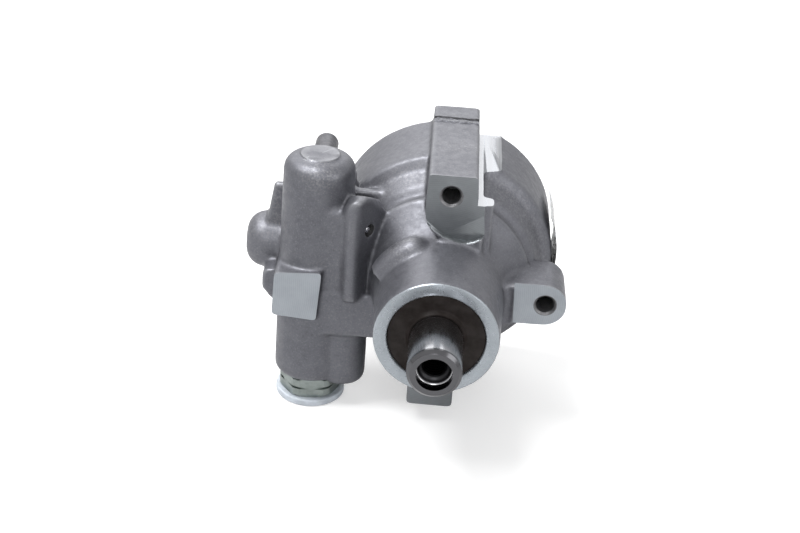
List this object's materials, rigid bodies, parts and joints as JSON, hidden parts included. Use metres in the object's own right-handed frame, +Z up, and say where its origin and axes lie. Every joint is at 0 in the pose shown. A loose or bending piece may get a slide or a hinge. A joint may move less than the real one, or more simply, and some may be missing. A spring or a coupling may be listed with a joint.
{
  "type": "power steering pump",
  "caption": "Vane type hydraulic pump in a cast housing, with a plain press-on pulley shaft, tapped mounting pads, a flow control valve barrel, a return tube and a capped outlet union.",
  "frame": {"origin": "on the shaft's axis, at the housing's front ring face", "axes": "+Z up with the valve barrel upright, the shaft lies along Y and its pulley end points to -Y, +X towards the right-hand mounting ear"},
  "size_m": [0.1222, 0.1173, 0.1056],
  "materials": {
    "cast_aluminium": "satin, bead-blasted casting",
    "shaft_steel": "ground, dark",
    "ground_steel": "ground",
    "sintered_iron": "sintered, matt",
    "spring_steel": "drawn wire",
    "bronze": "plain bearing metal",
    "seal_rubber": "brown-black, matt",
    "oring_rubber": "black, matt",
    "cover_steel": "pressed plate",
    "zinc_steel": "zinc plated",
    "cap_plastic": "white polyethylene",
    "tube_steel": "drawn tube, dark",
    "label_film": "gloss film"
  },
  "bodies": {
    "pump_body": {"housing": "cast_aluminium", "shaft_seal": "seal_rubber", "seal_garter_spring": "spring_steel", "shaft_bushing": "bronze", "thrust_plate": "sintered_iron", "pump_ring": "sintered_iron", "pressure_plate": "sintered_iron", "dowel_pins": "ground_steel", "pressure_plate_oring": "oring_rubber", "plate_spring": "spring_steel", "end_cover": "cover_steel", "end_cover_oring": "oring_rubber", "cover_retaining_ring": "spring_steel", "flow_valve_spring": "spring_steel", "union_fitting": "zinc_steel", "union_oring": "oring_rubber", "shipping_cap": "cap_plastic", "ball_plug": "ground_steel", "return_tube": "tube_steel", "label": "label_film"},
    "shaft": {"drive_shaft": "shaft_steel", "rotor": "ground_steel", "rotor_snap_ring": "spring_steel"},
    "flow_valve": {"flow_valve": "ground_steel", "relief_seat": "ground_steel", "relief_spring": "spring_steel"},
    "relief_ball": {"relief_ball": "ground_steel"},
    "vane_01": {"vane_01": "ground_steel"},
    "vane_02": {"vane_02": "ground_steel"},
    "vane_03": {"vane_03": "ground_steel"},
    "vane_04": {"vane_04": "ground_steel"},
    "vane_05": {"vane_05": "ground_steel"},
    "vane_06": {"vane_06": "ground_steel"},
    "vane_07": {"vane_07": "ground_steel"},
    "vane_08": {"vane_08": "ground_steel"},
    "vane_09": {"vane_09": "ground_steel"},
    "vane_10": {"vane_10": "ground_steel"}
  },
  "joints": [
    {"name": "shaft_spin", "type": "hinge", "parent": "pump_body", "child": "shaft", "pos_m": [0, 0, 0], "axis": [0, 1, 0], "continuous": true},
    {"name": "vane_01_slide", "type": "slide", "parent": "shaft", "child": "vane_01", "axis": [1, 0, 0], "range_m": [-0.0004, 0.0001]},
    {"name": "vane_02_slide", "type": "slide", "parent": "shaft", "child": "vane_02", "axis": [0.809, 0, 0.5878], "range_m": [-0.0004, 0.0009]},
    {"name": "vane_03_slide", "type": "slide", "parent": "shaft", "child": "vane_03", "axis": [0.309, 0, 0.9511], "range_m": [-0.0004, 0.00262]},
    {"name": "vane_04_slide", "type": "slide", "parent": "shaft", "child": "vane_04", "axis": [-0.309, 0, 0.9511], "range_m": [-0.0004, 0.00262]},
    {"name": "vane_05_slide", "type": "slide", "parent": "shaft", "child": "vane_05", "axis": [-0.809, 0, 0.5878], "range_m": [-0.0004, 0.0009]},
    {"name": "vane_06_slide", "type": "slide", "parent": "shaft", "child": "vane_06", "axis": [-1, 0, 0], "range_m": [-0.0004, 0.0001]},
    {"name": "vane_07_slide", "type": "slide", "parent": "shaft", "child": "vane_07", "axis": [-0.809, 0, -0.5878], "range_m": [-0.0004, 0.0009]},
    {"name": "vane_08_slide", "type": "slide", "parent": "shaft", "child": "vane_08", "axis": [-0.309, 0, -0.9511], "range_m": [-0.0004, 0.00262]},
    {"name": "vane_09_slide", "type": "slide", "parent": "shaft", "child": "vane_09", "axis": [0.309, 0, -0.9511], "range_m": [-0.0004, 0.00262]},
    {"name": "vane_10_slide", "type": "slide", "parent": "shaft", "child": "vane_10", "axis": [0.809, 0, -0.5878], "range_m": [-0.0004, 0.0009]},
    {"name": "flow_valve_slide", "type": "slide", "parent": "pump_body", "child": "flow_valve", "axis": [0, 0, 1], "range_m": [0, 0.008], "stiffness_N_per_m": 3000, "springref_m": -0.008, "deforming": ["flow_valve_spring"]},
    {"name": "relief_ball_lift", "type": "slide", "parent": "flow_valve", "child": "relief_ball", "axis": [0, 0, 1], "range_m": [0, 0.001], "stiffness_N_per_m": 2000, "springref_m": -0.002, "deforming": ["relief_spring"]}
  ]
}
